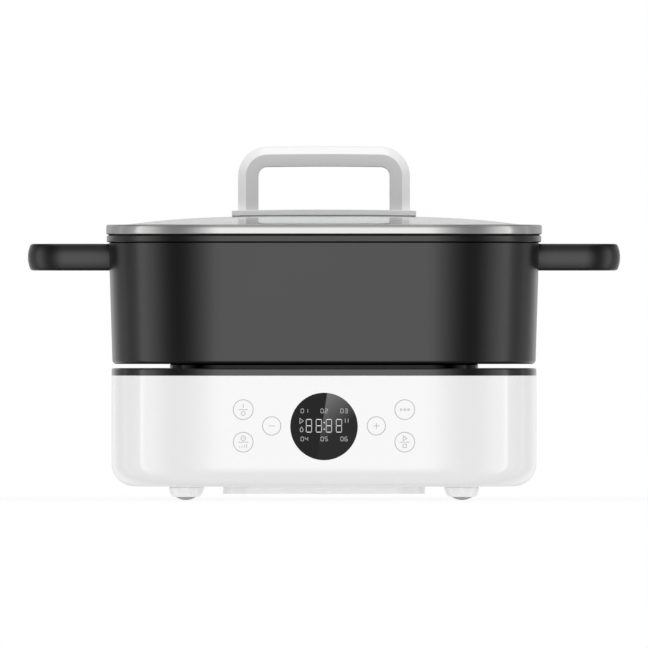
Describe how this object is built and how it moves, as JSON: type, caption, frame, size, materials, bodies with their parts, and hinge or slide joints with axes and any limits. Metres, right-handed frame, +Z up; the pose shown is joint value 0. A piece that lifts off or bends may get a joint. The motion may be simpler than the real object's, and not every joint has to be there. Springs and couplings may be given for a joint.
{
  "type": "electric hot pot with lid",
  "caption": "Rounded-square cast pot with side loops and a glass lid, lifting off an induction base with touch keys and a round display.",
  "frame": {"origin": "on the floor under the middle of the base", "axes": "+Z up, controls facing -Y, side loops along X"},
  "size_m": [0.4146, 0.3044, 0.2475],
  "materials": {
    "shell_white": "glossy moulded white",
    "trim_black": "glossy black moulding",
    "hob_glass_black": "polished black glass ceramic",
    "foot_rubber": "grey rubber",
    "window_black": "smoked black acrylic",
    "board_green": "glass fibre circuit board",
    "inner_black_plastic": "moulded black",
    "pad_foam": "conductive foam",
    "pin_brass": "nickel plated",
    "bearing_bronze": "sintered bronze",
    "screw_steel": "zinc plated",
    "stator_steel": "laminated",
    "coil_copper": "litz copper, lacquered",
    "former_plastic": "heat resistant moulding",
    "ferrite": "sintered ferrite",
    "mica": "mica board",
    "sensor_silicone": "silicone",
    "sensor_metal": "pressed cap",
    "sink_aluminium": "extruded",
    "pot_cast": "die cast, dark satin coating",
    "disc_steel": "perforated magnetic steel",
    "loop_black": "matt black phenolic",
    "rim_steel": "polished stainless steel",
    "seal_black": "black silicone",
    "lid_glass": "clear tempered glass",
    "handle_grey": "satin light grey"
  },
  "bodies": {
    "base": {"base_shell": "shell_white", "coil_former": "former_plastic", "coil_winding": "coil_copper", "control_board": "board_green", "control_screws": "screw_steel", "cover_screws": "screw_steel", "display_module": "inner_black_plastic", "display_window": "window_black", "fan_bearing": "bearing_bronze", "fan_frame": "inner_black_plastic", "fan_screws": "screw_steel", "fan_stator": "stator_steel", "ferrite_bar_1": "ferrite", "ferrite_bar_2": "ferrite", "ferrite_bar_3": "ferrite", "ferrite_bar_4": "ferrite", "filter_capacitor": "inner_black_plastic", "filter_choke": "ferrite", "foot_cup_front_left": "shell_white", "foot_cup_front_right": "shell_white", "foot_cup_rear_left": "shell_white", "foot_cup_rear_right": "shell_white", "foot_pad_front_left": "foot_rubber", "foot_pad_front_right": "foot_rubber", "foot_pad_rear_left": "foot_rubber", "foot_pad_rear_right": "foot_rubber", "former_screws": "screw_steel", "heat_sink": "sink_aluminium", "hob_glass": "hob_glass_black", "inlet_pins": "pin_brass", "inlet_screws": "screw_steel", "inlet_socket": "inner_black_plastic", "insulation_sheet": "mica", "plinth": "shell_white", "plinth_screws": "screw_steel", "power_board": "board_green", "power_screws": "screw_steel", "power_switch": "inner_black_plastic", "sensor_holder": "sensor_silicone", "thermistor": "sensor_metal", "top_cover": "trim_black", "touch_pads": "pad_foam"},
    "fan_rotor": {"fan_rotor": "inner_black_plastic", "fan_shaft": "screw_steel"},
    "pot": {"pot_body": "pot_cast", "induction_disc": "disc_steel", "handle_left": "loop_black", "handle_right": "loop_black", "loop_screws": "screw_steel"},
    "lid": {"lid_glass": "lid_glass", "lid_rim": "rim_steel", "lid_seal": "seal_black", "vent_eyelet": "rim_steel", "handle_plate": "handle_grey", "lid_handle": "handle_grey", "handle_seats": "sensor_silicone", "lid_washers": "screw_steel", "lid_screws": "screw_steel"}
  },
  "joints": [
    {"name": "pot_lift", "type": "slide", "parent": "base", "child": "pot", "axis": [0, 0, 1], "range_m": [0, 0.2]},
    {"name": "lid_lift", "type": "slide", "parent": "pot", "child": "lid", "axis": [0, 0, 1], "range_m": [0, 0.2]},
    {"name": "fan_spin", "type": "hinge", "parent": "base", "child": "fan_rotor", "pos_m": [0, 0, 0.025], "axis": [0, 0, 1], "continuous": true}
  ]
}
